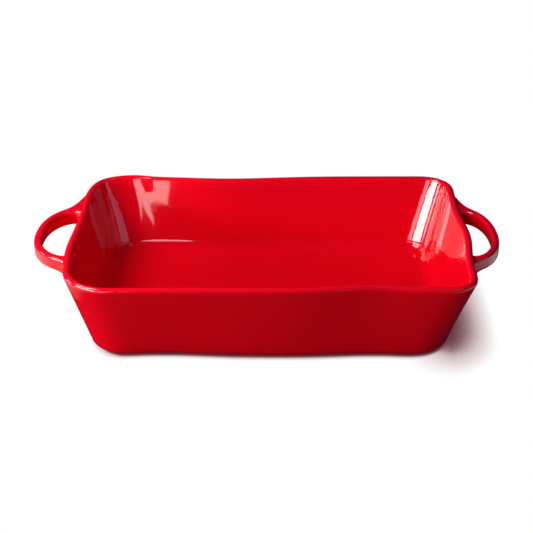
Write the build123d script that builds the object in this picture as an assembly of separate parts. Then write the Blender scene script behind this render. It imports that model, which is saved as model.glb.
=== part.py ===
from build123d import *
import os
from math import atan2, cos, exp, pi, sin

# Lasagna dish: a stoneware shell with gently waved walls and two strap handles.
# Millimetres. X runs along the dish, Y runs from the front to the back, Z is up.
# The origin is in the middle of the part, on the plane that the foot stands on.

# Shell, measured over the outside
rim_length = 350.5
rim_width = 247.6
rim_far_right_radius = 29.0
rim_far_left_radius = 32.0
rim_near_left_radius = 41.0
rim_near_right_radius = 27.0
base_length = 305.4
base_width = 203.4
base_far_radius = 32.0
base_near_left_radius = 31.0
base_near_right_radius = 38.0
base_shift = 1.5
dish_height = 74.7
wall_thickness = 7.0
floor_thickness = 8.5
lip_round_share = 0.44
base_edge_radius = 7.0
inner_floor_radius = 12.0

# Foot: a flat ring under the shell, around a shallow recess
foot_ring_width = 11.0
foot_recess_depth = 1.5

# Waves of the wall. A press goes in and a swell stands out.
# Each has its place along the side, its depth at the rim and at the base, and its spread.
back_press_place = -38.0
back_press_at_rim = 5.6
back_press_at_base = 2.0
back_press_spread = 58.0
back_swell_place = -131.0
back_swell_at_rim = 3.7
back_swell_at_base = 0.0
back_swell_spread = 16.0
front_press_place = 86.0
front_press_at_rim = 6.5
front_press_at_base = 2.8
front_press_spread = 39.0
front_left_press_place = -92.0
front_left_press_at_rim = 0.0
front_left_press_at_base = 4.8
front_left_press_spread = 48.0
right_swell_place = -12.0
right_swell_at_rim = 4.2
right_swell_at_base = 0.4
right_swell_spread = 36.0
left_swell_place = -42.0
left_swell_at_rim = 4.2
left_swell_at_base = 4.5
left_swell_spread = 45.0
left_press_place = 101.0
left_press_at_rim = 3.0
left_press_at_base = 0.0
left_press_spread = 17.0

# Handles: straps bent into a loop, luted to the two ends just under the rim.
# A reach is from the end of the rim to the outside of the loop.
# A root place is where the inner edge of the strap meets the wall.
# A root is a pad smeared along the wall: it flares to a tip, and hangs below the strap by a drop.
# The tip of a far root sinks into the wall, and that of a near root stands off it a little.
strap_thickness = 7.0
far_arm_height = 14.5
near_arm_height = 12.3
strap_top_below_rim = 2.6
strap_edge_share = 0.44
far_root_place = 45.5
near_root_place = -50.5
crown_place = -7.0
left_handle_reach = 34.5
right_handle_reach = 28.3
far_root_flare = 28.0
near_root_flare = 6.0
far_root_drop = 1.5
near_root_drop = 9.0
root_inner_flare = 3.0
far_tip_height = 7.5
far_tip_sink = 1.6
near_tip_height = 14.0
near_tip_drop = 3.0
near_tip_stand = 1.0

outline_points = 96
outline_runs = 4
arc_sections = 5
strap_sections = 9
far_flare_sharpness = 12
near_flare_sharpness = 8
root_lean_fade = 4
far_pad_share = 0.10
near_pad_share = 0.14
far_arm_squareness = 0.92
station_bunching = 1.5
outer_rail_lag = 1.2


def rounded_rectangle_point(half_length, half_width, radii, share):
    """Point and outward direction at a share of the way round the outline.

    The way starts in the middle of the right end and goes by the far side.
    The radii are those of the far right, far left, near left and near right corners.
    """
    spans = (half_width, half_length, half_length, half_width, half_width, half_length)
    spans += (half_length, half_width)
    runs = []
    for quarter in range(4):
        radius = radii[quarter]
        runs.append(spans[2 * quarter] - radius)
        runs.append(radius * pi / 2)
        runs.append(spans[2 * quarter + 1] - radius)
    left = share * sum(runs)
    step = 0
    while step < 11 and left > runs[step]:
        left -= runs[step]
        step += 1
    quarter = step // 3
    radius = radii[quarter]
    first_half = spans[2 * quarter]
    second_half = spans[2 * quarter + 1]
    along = (second_half, left, 1, 0)
    if step % 3 == 1:
        angle = left / radius
        outward = second_half - radius + radius * cos(angle)
        onward = first_half - radius + radius * sin(angle)
        along = (outward, onward, cos(angle), sin(angle))
    if step % 3 == 2:
        along = (second_half - radius - left, first_half, 0, 1)
    across, onward, across_way, onward_way = along
    turn_cos = round(cos(quarter * pi / 2))
    turn_sin = round(sin(quarter * pi / 2))
    x = across * turn_cos - onward * turn_sin
    y = across * turn_sin + onward * turn_cos
    out_x = across_way * turn_cos - onward_way * turn_sin
    out_y = across_way * turn_sin + onward_way * turn_cos
    return (x, y, out_x, out_y)


def hill(place, middle, spread):
    """A smooth rise to 1 at the middle, nearly gone two spreads away."""
    return exp(-((place - middle) / spread) ** 2)


def between(low, high, share):
    return low + (high - low) * share


def wave_at(x, y, out_x, out_y, level):
    """How far the wall stands out at a place of the outline. Level is 0 at the base."""
    back = between(back_press_at_base, back_press_at_rim, level)
    back_swell = between(back_swell_at_base, back_swell_at_rim, level)
    front = between(front_press_at_base, front_press_at_rim, level)
    front_left = between(front_left_press_at_base, front_left_press_at_rim, level)
    right = between(right_swell_at_base, right_swell_at_rim, level)
    left = between(left_swell_at_base, left_swell_at_rim, level)
    left_press = between(left_press_at_base, left_press_at_rim, level)
    back *= hill(x, back_press_place, back_press_spread)
    back_swell *= hill(x, back_swell_place, back_swell_spread)
    front *= hill(x, front_press_place, front_press_spread)
    front_left *= hill(x, front_left_press_place, front_left_press_spread)
    right *= hill(y, right_swell_place, right_swell_spread)
    left *= hill(y, left_swell_place, left_swell_spread)
    left_press *= hill(y, left_press_place, left_press_spread)
    sides = (back_swell - back) * max(out_y, 0) - (front + front_left) * max(-out_y, 0)
    ends = right * max(out_x, 0) + (left - left_press) * max(-out_x, 0)
    return sides + ends


def plain_outline(level, inset):
    """Closed outline of the shell about its own middle: level 0 at the base, 1 at the rim."""
    half_length = between(base_length, rim_length, level) / 2
    half_width = between(base_width, rim_width, level) / 2
    radii = [
        between(base_far_radius, rim_far_right_radius, level),
        between(base_far_radius, rim_far_left_radius, level),
        between(base_near_left_radius, rim_near_left_radius, level),
        between(base_near_right_radius, rim_near_right_radius, level),
    ]
    points = []
    for index in range(outline_points):
        share = index / outline_points
        x, y, out_x, out_y = rounded_rectangle_point(half_length, half_width, radii, share)
        out = wave_at(x, y, out_x, out_y, level) - inset
        points.append((x + base_shift * (1 - level) + out_x * out, y + out_y * out))
    return points


def shell_middle():
    """Where the shell stands, so that the whole part is centred on the origin."""
    across = [point[1] for point in plain_outline(1, 0)]
    middle_x = (left_handle_reach - right_handle_reach) / 2
    return middle_x, -(min(across) + max(across)) / 2


def wall_outline(level, inset):
    """The outline moved to where the shell stands."""
    middle_x, middle_y = shell_middle()
    points = []
    for x, y in plain_outline(level, inset):
        points.append((x + middle_x, y + middle_y))
    return points


def outline_wire(level, inset, height):
    """The outline as a flat closed wire of four runs, one from each end and side."""
    points = []
    for x, y in wall_outline(level, inset):
        points.append(Vector(x, y, height))
    ring = Edge.make_spline(points, periodic=True)
    runs = []
    for index in range(outline_runs):
        runs.append(ring.trim(index / outline_runs, (index + 1) / outline_runs))
    return Wire(runs)


def wall_draft():
    """The wall's lean from upright, in radians, midway between sides and ends."""
    lean = (rim_length - base_length + rim_width - base_width) / 4
    return atan2(lean, dish_height)


def wall_wire(height, inset):
    """The wall's outline at a height, a distance in from the outside."""
    return outline_wire(height / dish_height, inset, height)


def arc_wire(centre_inset, centre_height, radius, angle):
    """The outline through one point of a rounded edge's arc."""
    inset = centre_inset - radius * cos(angle)
    return outline_wire(centre_height / dish_height, inset, centre_height + radius * sin(angle))


def rounded_band(centre_inset, centre_height, radius, ends, first_wire, last_wire):
    """The faces that round from one outline to another along an arc."""
    wires = [first_wire]
    for index in range(1, arc_sections):
        angle = ends[0] + (ends[1] - ends[0]) * index / arc_sections
        wires.append(arc_wire(centre_inset, centre_height, radius, angle))
    wires.append(last_wire)
    return Shell.make_loft(wires, ruled=False).faces()


def straight_band(first_wire, last_wire):
    """The faces that run straight from one outline to another."""
    return Shell.make_loft([first_wire, last_wire], ruled=True).faces()


def straight_ends():
    """The outlines between which the outer wall runs straight."""
    slope = sin(wall_draft())
    lip = wall_thickness * lip_round_share
    low = wall_wire(base_edge_radius - base_edge_radius * slope, 0)
    high = wall_wire(dish_height - lip - lip * slope, 0)
    return low, high


def outside():
    """Faces of the outside from the foot to the top of the lip, with their end outlines."""
    draft = wall_draft()
    edge = base_edge_radius
    lip = wall_thickness * lip_round_share
    edge_inset = edge / cos(draft)
    lip_inset = lip / cos(draft)
    lip_centre = dish_height - lip
    foot = arc_wire(edge_inset, edge, edge, -pi / 2)
    low, high = straight_ends()
    top = arc_wire(lip_inset, lip_centre, lip, pi / 2)
    faces = list(rounded_band(edge_inset, edge, edge, (-pi / 2, -draft), foot, low))
    faces += straight_band(low, high)
    faces += rounded_band(lip_inset, lip_centre, lip, (-draft, pi / 2), high, top)
    return faces, foot, top


def inside():
    """Faces of the inside from the top of the lip to the floor, with their end outlines."""
    draft = wall_draft()
    bend = inner_floor_radius
    lip = wall_thickness * lip_round_share
    bend_inset = wall_thickness + bend / cos(draft)
    bend_centre = floor_thickness + bend
    lip_inset = wall_thickness - lip / cos(draft)
    lip_centre = dish_height - lip
    top = arc_wire(lip_inset, lip_centre, lip, pi / 2)
    high = wall_wire(lip_centre + lip * sin(draft), wall_thickness)
    low = wall_wire(bend_centre - bend * sin(draft), wall_thickness)
    floor = arc_wire(bend_inset, bend_centre, bend, -pi / 2)
    faces = list(rounded_band(lip_inset, lip_centre, lip, (pi / 2, pi - draft), top, high))
    faces += straight_band(high, low)
    faces += rounded_band(bend_inset, bend_centre, bend, (-draft, -pi / 2), low, floor)
    return faces, top, floor


def underside(foot):
    """The foot ring, the step up into the recess and the recess itself."""
    inset = base_edge_radius + foot_ring_width
    ring = outline_wire(0, inset, 0)
    recess = outline_wire(0, inset + foot_recess_depth, foot_recess_depth)
    return [Face(foot, [ring]), *straight_band(ring, recess), Face(recess)]


def wall_block():
    """The space within the outer wall, carried on straight to the rim, for trimming the handles."""
    low, high = straight_ends()
    top = wall_wire(dish_height, 0)
    faces = straight_band(low, high) + straight_band(high, top)
    return Solid(Shell([*faces, Face(low), Face(top)]))


def dish_shell():
    """The whole dish without its handles, as one closed skin of faces."""
    outer_faces, foot, outer_top = outside()
    inner_faces, inner_top, floor = inside()
    flats = [Face(outer_top, [inner_top]), Face(floor)]
    return Solid(Shell([*outer_faces, *inner_faces, *flats, *underside(foot)]))


def rail_point(share, side, crown, span, flare):
    """A point of a strap edge, as distances out from the rim's end and along it.

    Share is 0 at the root and 1 at the crown, side is 1 on the far arm and -1 on the near one.
    """
    squareness = 1
    sharpness = near_flare_sharpness
    if side > 0:
        squareness = far_arm_squareness
        sharpness = far_flare_sharpness
    out = crown * sin(share * pi / 2) ** squareness
    along = span * max(cos(share * pi / 2), 0) ** squareness
    along += flare * (1 - share) ** sharpness
    return out, crown_place + side * along


def strap_stations():
    """Shares and sides from the far root to the near root, closer at the roots."""
    stations = []
    for index in range(strap_sections):
        stations.append(((index / strap_sections) ** station_bunching, 1))
    stations.append((1, 1))
    for index in range(strap_sections - 1, -1, -1):
        stations.append(((index / strap_sections) ** station_bunching, -1))
    return stations


def strap_section(station, direction, reach, inward):
    """A rounded cross-section of the strap, with four corners from its inner to its outer edge.

    At a root it is the smeared pad on the wall, which narrows towards its tip.
    """
    share, side = station
    span = far_root_place - crown_place
    tall = far_arm_height
    flare = far_root_flare
    root_drop = far_root_drop
    tip_drop = 0
    tip_stand = -far_tip_sink
    tip_height = far_tip_height
    sharpness = far_flare_sharpness
    pad_share = far_pad_share
    if side < 0:
        span = crown_place - near_root_place
        tall = near_arm_height
        flare = near_root_flare
        root_drop = near_root_drop
        tip_drop = near_tip_drop
        tip_stand = near_tip_stand
        tip_height = near_tip_height
        sharpness = near_flare_sharpness
        pad_share = near_pad_share
    root = (1 - share) ** sharpness
    tall = between(tall, (far_arm_height + near_arm_height) / 2, share)
    tall += root_drop * hill(share, 0, pad_share)
    tip_drop = tip_drop * root
    outer_tall = between(tall, tip_height, root)
    inner_crown = reach - strap_thickness
    inner_out, inner_along = rail_point(share, side, inner_crown, span, -root_inner_flare)
    outer_span = span + strap_thickness
    outer_share = share ** outer_rail_lag
    outer_out, outer_along = rail_point(outer_share, side, reach, outer_span, flare)
    outer_out += tip_stand * root
    end_x = rim_length / 2
    inner = Vector(direction * (end_x + inner_out - inward), inner_along, 0)
    outer = Vector(direction * (end_x + outer_out - inward), outer_along, 0)
    half_width = (outer - inner).length / 2
    lean = wall_draft() * (1 - share) ** root_lean_fade
    up = Vector(direction * sin(lean), 0, cos(lean))
    across = outer - inner
    across = (across - up * across.dot(up)).normalized()
    middle_x, middle_y = shell_middle()
    top = Vector(middle_x, middle_y, dish_height - strap_top_below_rim)
    plane = Plane(origin=(inner + outer) / 2 + top, x_dir=across, z_dir=across.cross(up))
    corners = [
        (-half_width, 0),
        (-half_width, -tall),
        (half_width, -tip_drop - outer_tall),
        (half_width, -tip_drop),
    ]
    outline = Polygon(*corners, align=None)
    return plane * fillet(outline.vertices(), strap_edge_share * strap_thickness)


def strap(direction, reach):
    """A strap handle. Direction is 1 at the right end and -1 at the left end."""
    stations = strap_stations()
    sections = [strap_section(stations[0], direction, reach, wall_thickness)]
    for station in stations:
        sections.append(strap_section(station, direction, reach, 0))
    sections.append(strap_section(stations[-1], direction, reach, wall_thickness))
    return loft(sections)


def save(shape, name):
    shape.label = name
    export_step(shape, "parts/" + name + ".step")


if __name__ == "__main__":
    os.makedirs("parts", exist_ok=True)
    block = wall_block()
    save(dish_shell(), "dish_shell")
    save(strap(-1, left_handle_reach) - block, "left_handle")
    save(strap(1, right_handle_reach) - block, "right_handle")
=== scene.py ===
import bpy
from math import cos, pi, radians, sin
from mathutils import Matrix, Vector

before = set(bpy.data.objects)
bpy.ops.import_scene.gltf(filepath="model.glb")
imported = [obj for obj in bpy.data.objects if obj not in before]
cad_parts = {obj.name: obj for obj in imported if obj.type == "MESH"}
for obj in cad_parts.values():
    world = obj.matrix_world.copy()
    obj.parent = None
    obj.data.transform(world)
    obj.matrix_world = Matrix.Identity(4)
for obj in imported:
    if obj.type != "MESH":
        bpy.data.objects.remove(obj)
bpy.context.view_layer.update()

# Glaze relief: the faint unevenness of a dipped and brushed glaze. It gives the normal, and masks for
# the clouds, the polish, the thin glaze near the lip, the pools in the creases and the bare foot.
# The heights of the waves, brush marks and pinholes are in metres.
wave_height = 0.0003
brush_height = 0.00003
pin_height = 0.0000012
lip_start = 0.066
lip_end = 0.080
crease_reach = 0.012
foot_ragged = -0.0012
foot_glazed = 0.0004
foot_bare = 0.0002
relief = bpy.data.node_groups.new("glaze_relief", "ShaderNodeTree")
relief.interface.new_socket("Normal", in_out="OUTPUT", socket_type="NodeSocketVector")
for mask in ("Cloud", "Polish", "Thin", "Pool", "Bare"):
    relief.interface.new_socket(mask, in_out="OUTPUT", socket_type="NodeSocketFloat")
nodes, links = relief.nodes, relief.links
group_out = nodes.new("NodeGroupOutput")
place = nodes.new("ShaderNodeTexCoord")
axes = nodes.new("ShaderNodeSeparateXYZ")
waves = nodes.new("ShaderNodeTexNoise")
waves.inputs["Scale"].default_value = 16
waves.inputs["Detail"].default_value = 1.5
brush = nodes.new("ShaderNodeTexNoise")
brush.inputs["Scale"].default_value = 75
brush.inputs["Detail"].default_value = 2
pins = nodes.new("ShaderNodeTexNoise")
pins.inputs["Scale"].default_value = 900
pins.inputs["Detail"].default_value = 2
wave_bump = nodes.new("ShaderNodeBump")
wave_bump.inputs["Strength"].default_value = 1
wave_bump.inputs["Distance"].default_value = wave_height
brush_bump = nodes.new("ShaderNodeBump")
brush_bump.inputs["Strength"].default_value = 1
brush_bump.inputs["Distance"].default_value = brush_height
pin_bump = nodes.new("ShaderNodeBump")
pin_bump.inputs["Strength"].default_value = 1
pin_bump.inputs["Distance"].default_value = pin_height
near_lip = nodes.new("ShaderNodeMapRange")
near_lip.inputs["From Min"].default_value = lip_start
near_lip.inputs["From Max"].default_value = lip_end
creases = nodes.new("ShaderNodeAmbientOcclusion")
creases.samples = 4
creases.inputs["Distance"].default_value = crease_reach
pooled = nodes.new("ShaderNodeMapRange")
pooled.inputs["From Min"].default_value = 0.85
pooled.inputs["From Max"].default_value = 0.35
wiped = nodes.new("ShaderNodeMath")
wiped.operation = "MULTIPLY_ADD"
wiped.inputs[1].default_value = foot_ragged
foot = nodes.new("ShaderNodeMapRange")
foot.inputs["From Min"].default_value = foot_glazed
foot.inputs["From Max"].default_value = foot_bare
for texture in (waves, brush, pins):
    links.new(place.outputs["Object"], texture.inputs["Vector"])
links.new(waves.outputs["Fac"], wave_bump.inputs["Height"])
links.new(brush.outputs["Fac"], brush_bump.inputs["Height"])
links.new(pins.outputs["Fac"], pin_bump.inputs["Height"])
links.new(wave_bump.outputs["Normal"], brush_bump.inputs["Normal"])
links.new(brush_bump.outputs["Normal"], pin_bump.inputs["Normal"])
links.new(pin_bump.outputs["Normal"], group_out.inputs["Normal"])
links.new(waves.outputs["Fac"], group_out.inputs["Cloud"])
links.new(brush.outputs["Fac"], group_out.inputs["Polish"])
links.new(place.outputs["Object"], axes.inputs["Vector"])
links.new(axes.outputs["Z"], near_lip.inputs["Value"])
links.new(near_lip.outputs["Result"], group_out.inputs["Thin"])
links.new(creases.outputs["AO"], pooled.inputs["Value"])
links.new(pooled.outputs["Result"], group_out.inputs["Pool"])
links.new(brush.outputs["Fac"], wiped.inputs[0])
links.new(axes.outputs["Z"], wiped.inputs[2])
links.new(wiped.outputs["Value"], foot.inputs["Value"])
links.new(foot.outputs["Result"], group_out.inputs["Bare"])

# Red glaze: gloss glaze fused over pale stoneware. It is a little brighter where it runs thin towards
# the lip, deeper where it pools, and wiped off the foot ring, where the rough clay shows. The dish and
# both handles are glazed in one dip.
glaze_red = (0.74, 0.0010, 0.0085, 1)
cloud_red = (0.66, 0.0008, 0.0070, 1)
thin_red = (0.80, 0.0030, 0.0130, 1)
pooled_red = (0.60, 0.0006, 0.0060, 1)
bare_clay = (0.66, 0.54, 0.40, 1)
smoothest = 0.03
dullest = 0.08
clay_rough = 0.85
glass_bend = 1.5
glaze = bpy.data.materials.new("red_glaze")
glaze.use_nodes = True
nodes, links = glaze.node_tree.nodes, glaze.node_tree.links
shader = nodes["Principled BSDF"]
surface = nodes.new("ShaderNodeGroup")
surface.node_tree = relief
colour = nodes.new("ShaderNodeMix")
colour.data_type = "RGBA"
colour.inputs["A"].default_value = glaze_red
colour.inputs["B"].default_value = cloud_red
thin = nodes.new("ShaderNodeMix")
thin.data_type = "RGBA"
thin.inputs["B"].default_value = thin_red
pool = nodes.new("ShaderNodeMix")
pool.data_type = "RGBA"
pool.inputs["B"].default_value = pooled_red
clay = nodes.new("ShaderNodeMix")
clay.data_type = "RGBA"
clay.inputs["B"].default_value = bare_clay
polish = nodes.new("ShaderNodeMapRange")
polish.inputs["To Min"].default_value = smoothest
polish.inputs["To Max"].default_value = dullest
rough = nodes.new("ShaderNodeMix")
rough.inputs["B"].default_value = clay_rough
shader.inputs["IOR"].default_value = glass_bend
links.new(surface.outputs["Cloud"], colour.inputs["Factor"])
links.new(surface.outputs["Thin"], thin.inputs["Factor"])
links.new(colour.outputs["Result"], thin.inputs["A"])
links.new(surface.outputs["Pool"], pool.inputs["Factor"])
links.new(thin.outputs["Result"], pool.inputs["A"])
links.new(surface.outputs["Bare"], clay.inputs["Factor"])
links.new(pool.outputs["Result"], clay.inputs["A"])
links.new(clay.outputs["Result"], shader.inputs["Base Color"])
links.new(surface.outputs["Polish"], polish.inputs["Value"])
links.new(polish.outputs["Result"], rough.inputs["A"])
links.new(surface.outputs["Bare"], rough.inputs["Factor"])
links.new(rough.outputs["Result"], shader.inputs["Roughness"])
links.new(surface.outputs["Normal"], shader.inputs["Normal"])
for name in ("dish_shell", "left_handle", "right_handle"):
    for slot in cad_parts[name].material_slots:
        slot.material = glaze

# Stage: a white paper table that runs on as the backdrop. To the camera it is white, with a painted
# soft shadow under the dish and a longer painted shadow on its right, made from ambient occlusion and
# not cast by the lamps. In the glaze it shows as a painted reflection: to glossy rays the paper glows
# dark in front of the dish and white beside it.
floor_size = 8.0
paper_grey = (0.34, 0.34, 0.34, 1)
# Painted shadow: how far the occlusion reaches, where the side shadow starts and is full, and where the
# contact shadow is left out at the left end.
contact_reach = 0.008
shadow_reach = 0.045
shadow_start = 0.11
shadow_full = 0.16
lit_start = -0.160
lit_stop = -0.125
# Painted shadow: its darkest tone and the tones between it and white, given on the occlusion scale.
painted_shadow_darkest = (0.10, 0.02, 0.03, 1)
painted_shadow_tones = (
    (0.43, (0.22, 0.10, 0.11, 1)),
    (0.495, (0.54, 0.40, 0.41, 1)),
    (0.74, (0.84, 0.76, 0.77, 1)),
)
# Painted reflection: to glossy rays the paper glows in these tones, dark in front of the dish and white
# to either side of it.
mirror_shift = -0.02
painted_reflection_dark = (0.03, 0.008, 0.02, 1)
bpy.ops.object.select_all(action="DESELECT")
bpy.ops.mesh.primitive_plane_add(size=floor_size, location=(0, 0, 0))
floor = bpy.context.object
floor.name = "stage_floor"
paper = bpy.data.materials.new("white_paper")
paper.use_nodes = True
nodes, links = paper.node_tree.nodes, paper.node_tree.links
paper_shader = nodes["Principled BSDF"]
paper_shader.inputs["Base Color"].default_value = paper_grey
paper_shader.inputs["Roughness"].default_value = 0.7
paper_shader.inputs["Specular IOR Level"].default_value = 0.1
place = nodes.new("ShaderNodeTexCoord")
axes = nodes.new("ShaderNodeSeparateXYZ")
contact = nodes.new("ShaderNodeAmbientOcclusion")
contact.samples = 16
contact.inputs["Distance"].default_value = contact_reach
# Painted shadow on the right: occlusion seen along a normal leaning to the left, used only right of the
# dish.
side = nodes.new("ShaderNodeAmbientOcclusion")
side.samples = 16
side.inputs["Distance"].default_value = shadow_reach
lean = nodes.new("ShaderNodeCombineXYZ")
lean.inputs["X"].default_value = -0.75
lean.inputs["Z"].default_value = 0.66
lee = nodes.new("ShaderNodeMapRange")
lee.inputs["From Min"].default_value = shadow_start
lee.inputs["From Max"].default_value = shadow_full
painted_side_shadow = nodes.new("ShaderNodeMix")
painted_side_shadow.inputs["A"].default_value = 1.0
lit_end = nodes.new("ShaderNodeMapRange")
lit_end.inputs["From Min"].default_value = lit_start
lit_end.inputs["From Max"].default_value = lit_stop
painted_contact_shadow = nodes.new("ShaderNodeMix")
painted_contact_shadow.inputs["A"].default_value = 1.0
# Painted shadow: the deeper of the contact and side shadows sets the paper's tone for the camera.
deeper = nodes.new("ShaderNodeMath")
deeper.operation = "MINIMUM"
painted_shadow_ramp = nodes.new("ShaderNodeValToRGB")
painted_shadow_ramp.color_ramp.elements[0].position = 0.20
painted_shadow_ramp.color_ramp.elements[0].color = painted_shadow_darkest
painted_shadow_ramp.color_ramp.elements[1].position = 0.92
painted_shadow_ramp.color_ramp.elements[1].color = (1, 1, 1, 1)
for position, tone in painted_shadow_tones:
    painted_shadow_ramp.color_ramp.elements.new(position).color = tone
# The camera sees the paper glow in these tones: white, with the painted shadow.
white = nodes.new("ShaderNodeEmission")
shifted = nodes.new("ShaderNodeMath")
shifted.inputs[1].default_value = mirror_shift
sideways = nodes.new("ShaderNodeMath")
sideways.operation = "ABSOLUTE"
beside = nodes.new("ShaderNodeMapRange")
beside.inputs["From Min"].default_value = 0.22
beside.inputs["From Max"].default_value = 0.28
ahead = nodes.new("ShaderNodeMapRange")
ahead.inputs["From Min"].default_value = 0.16
ahead.inputs["From Max"].default_value = 0.02
bright = nodes.new("ShaderNodeMath")
bright.operation = "MULTIPLY"
painted_reflection_tone = nodes.new("ShaderNodeMix")
painted_reflection_tone.data_type = "RGBA"
painted_reflection_tone.inputs["A"].default_value = painted_reflection_dark
painted_reflection_tone.inputs["B"].default_value = (1, 1, 1, 1)
# Painted reflection: this glow is what the glaze mirrors of the paper.
painted_reflection_glow = nodes.new("ShaderNodeEmission")
path = nodes.new("ShaderNodeLightPath")
bounced = nodes.new("ShaderNodeMath")
bounced.operation = "ADD"
bounced.use_clamp = True
glossed = nodes.new("ShaderNodeMixShader")
seen = nodes.new("ShaderNodeMixShader")
links.new(place.outputs["Object"], axes.inputs["Vector"])
links.new(lean.outputs["Vector"], side.inputs["Normal"])
links.new(axes.outputs["X"], lee.inputs["Value"])
links.new(lee.outputs["Result"], painted_side_shadow.inputs["Factor"])
links.new(side.outputs["AO"], painted_side_shadow.inputs["B"])
links.new(painted_side_shadow.outputs["Result"], deeper.inputs[0])
links.new(axes.outputs["X"], lit_end.inputs["Value"])
links.new(lit_end.outputs["Result"], painted_contact_shadow.inputs["Factor"])
links.new(contact.outputs["AO"], painted_contact_shadow.inputs["B"])
links.new(painted_contact_shadow.outputs["Result"], deeper.inputs[1])
links.new(deeper.outputs["Value"], painted_shadow_ramp.inputs["Fac"])
links.new(painted_shadow_ramp.outputs["Color"], white.inputs["Color"])
links.new(axes.outputs["X"], shifted.inputs[0])
links.new(shifted.outputs["Value"], sideways.inputs[0])
links.new(sideways.outputs["Value"], beside.inputs["Value"])
links.new(axes.outputs["Y"], ahead.inputs["Value"])
links.new(beside.outputs["Result"], bright.inputs[0])
links.new(ahead.outputs["Result"], bright.inputs[1])
links.new(bright.outputs["Value"], painted_reflection_tone.inputs["Factor"])
links.new(painted_reflection_tone.outputs["Result"], painted_reflection_glow.inputs["Color"])
links.new(path.outputs["Is Glossy Ray"], bounced.inputs[0])
links.new(path.outputs["Is Transmission Ray"], bounced.inputs[1])
links.new(bounced.outputs["Value"], glossed.inputs["Fac"])
links.new(paper_shader.outputs["BSDF"], glossed.inputs[1])
links.new(painted_reflection_glow.outputs["Emission"], glossed.inputs[2])
links.new(path.outputs["Is Camera Ray"], seen.inputs["Fac"])
links.new(glossed.outputs["Shader"], seen.inputs[1])
links.new(white.outputs["Emission"], seen.inputs[2])
links.new(seen.outputs["Shader"], nodes["Material Output"].inputs["Surface"])
floor.data.materials.append(paper)

# Room: the studio around the table. It is white to the camera, gives a little white light from all
# sides, and is a dim violet where the glaze mirrors it.
room_light = 0.10
room_white = 1.0
mirror_violet = (0.20, 0.05, 1.0, 1)
mirror_strength = 0.055
world = bpy.data.worlds.new("studio")
bpy.context.scene.world = world
world.use_nodes = True
nodes, links = world.node_tree.nodes, world.node_tree.links
dim = nodes["Background"]
dim.inputs["Color"].default_value = (1, 1, 1, 1)
dim.inputs["Strength"].default_value = room_light
white = nodes.new("ShaderNodeBackground")
white.inputs["Color"].default_value = (1, 1, 1, 1)
white.inputs["Strength"].default_value = room_white
quiet = nodes.new("ShaderNodeBackground")
quiet.inputs["Color"].default_value = mirror_violet
quiet.inputs["Strength"].default_value = mirror_strength
path = nodes.new("ShaderNodeLightPath")
glossed = nodes.new("ShaderNodeMixShader")
seen = nodes.new("ShaderNodeMixShader")
links.new(path.outputs["Is Glossy Ray"], glossed.inputs["Fac"])
links.new(dim.outputs["Background"], glossed.inputs[1])
links.new(quiet.outputs["Background"], glossed.inputs[2])
links.new(path.outputs["Is Camera Ray"], seen.inputs["Fac"])
links.new(glossed.outputs["Shader"], seen.inputs[1])
links.new(white.outputs["Background"], seen.inputs[2])
links.new(seen.outputs["Shader"], nodes["World Output"].inputs["Surface"])

# Lamps: large soft boxes, mostly on the left and in front. Each has its name, azimuth from the back
# towards the right, elevation, distance, width, height and strength. side_gleam shows only as the long
# highlight in the right corner, while side_softbox and front_fill light the dish without showing in it.
aim = Vector((0, 0, 0.05))
lamps = (
    ("key_softbox", -100, 48, 0.80, 0.46, 0.36, 11.2),
    ("side_softbox", -108, 14.5, 1.00, 0.44, 0.17, 23.0),
    ("side_gleam", -118, 16.5, 1.02, 0.78, 0.26, 23.0),
    ("front_fill", -150, 17, 1.20, 0.60, 0.40, 2.2),
    ("left_panel", -80, 11, 0.90, 0.20, 0.16, 12.0),
    ("front_window", -155, 10.5, 1.10, 0.22, 0.15, 5.5),
    ("front_high", -157, 20, 1.10, 0.40, 0.22, 5.5),
    ("right_strip", 108, 14.5, 1.00, 0.70, 0.22, 0.75),
    ("violet_wall", 108, 14.5, 1.02, 0.714, 0.224, 0.5),
    ("right_fill", 120, 50, 1.00, 0.35, 0.35, 0.7),
)
for name, azimuth, elevation, reach, width, height, strength in lamps:
    light = bpy.data.lights.new(name, "AREA")
    light.shape = "RECTANGLE"
    light.size = width
    light.size_y = height
    light.energy = strength * pi * width * height
    turn = radians(azimuth)
    rise = radians(elevation)
    level = reach * cos(rise)
    offset = Vector((level * sin(turn), level * cos(turn), reach * sin(rise)))
    lamp = bpy.data.objects.new(name, light)
    lamp.location = aim + offset
    lamp.rotation_euler = (-offset).to_track_quat("-Z", "Y").to_euler()
    bpy.context.scene.collection.objects.link(lamp)
bpy.data.objects["side_gleam"].visible_diffuse = False
bpy.data.objects["side_softbox"].visible_glossy = False
bpy.data.objects["front_fill"].visible_glossy = False
bpy.data.lights["violet_wall"].color = (0.35, 0.05, 1.0)

# Camera: the photograph's place and angle, fitted to the outline of the rim, the base and the handles.
# It looks down along the middle of the dish.
lens_length = 102.07
camera_place = (-0.00006, -1.2307, 0.6365)
look_down = 26.02
camera = bpy.data.cameras.new("photo_camera")
camera.sensor_width = 36.0
camera.lens = lens_length
camera.clip_end = 20
camera_object = bpy.data.objects.new("photo_camera", camera)
camera_object.location = camera_place
camera_object.rotation_euler = (radians(90 - look_down), 0, 0)
bpy.context.scene.collection.objects.link(camera_object)
bpy.context.scene.camera = camera_object

bpy.context.scene.view_settings.view_transform = "Standard"
